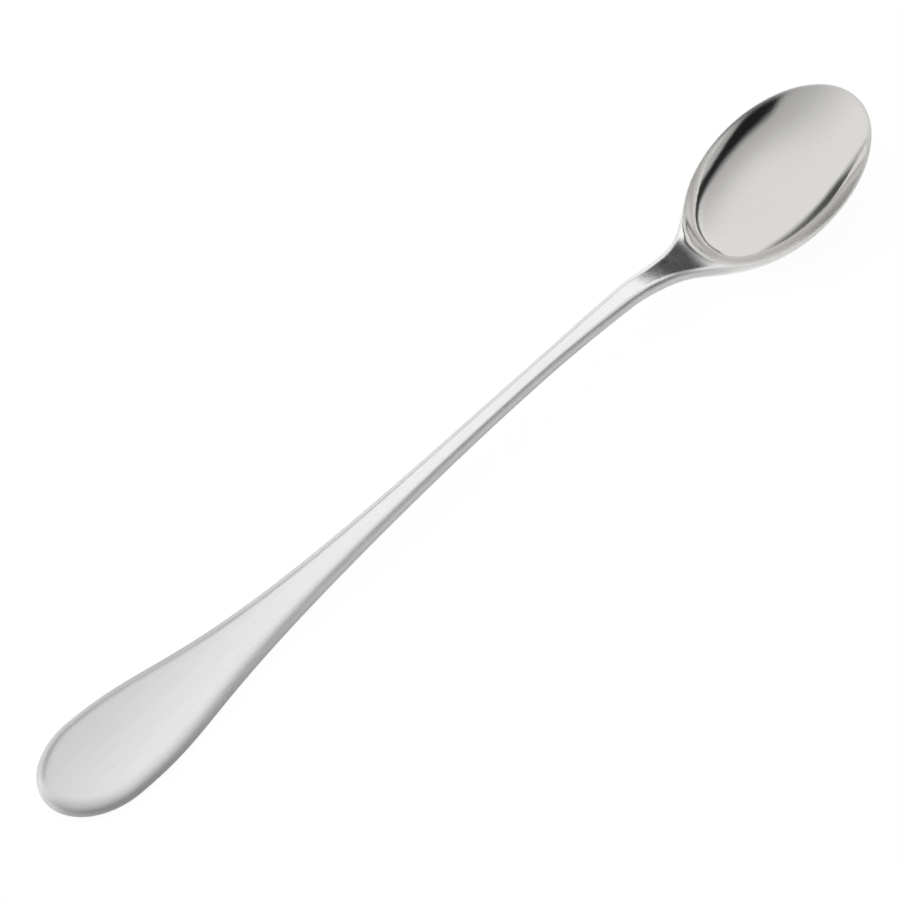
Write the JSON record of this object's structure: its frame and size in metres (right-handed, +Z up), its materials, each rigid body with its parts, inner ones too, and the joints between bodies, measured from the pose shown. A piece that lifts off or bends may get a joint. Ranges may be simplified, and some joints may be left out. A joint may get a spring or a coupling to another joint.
{
  "type": "iced tea spoon",
  "caption": "Long-handled iced tea spoon in polished stainless steel: oval bowl, dropped neck, slender arched stem and flat teardrop handle, for stirring and sipping from tall glasses.",
  "frame": {"origin": "middle of the spoon's box, on the table that it lies on", "axes": "+X along the spoon towards the bowl tip, +Y across it, +Z up out of the table, with the bowl's hollow facing up"},
  "size_m": [0.19, 0.0262, 0.0154],
  "materials": {
    "polished_steel": "mirror polished bowl and satin polished handle, with fine polishing marks"
  },
  "bodies": {
    "root": {"bowl": "polished_steel", "neck": "polished_steel", "stem": "polished_steel", "handle": "polished_steel"}
  },
  "joints": []
}
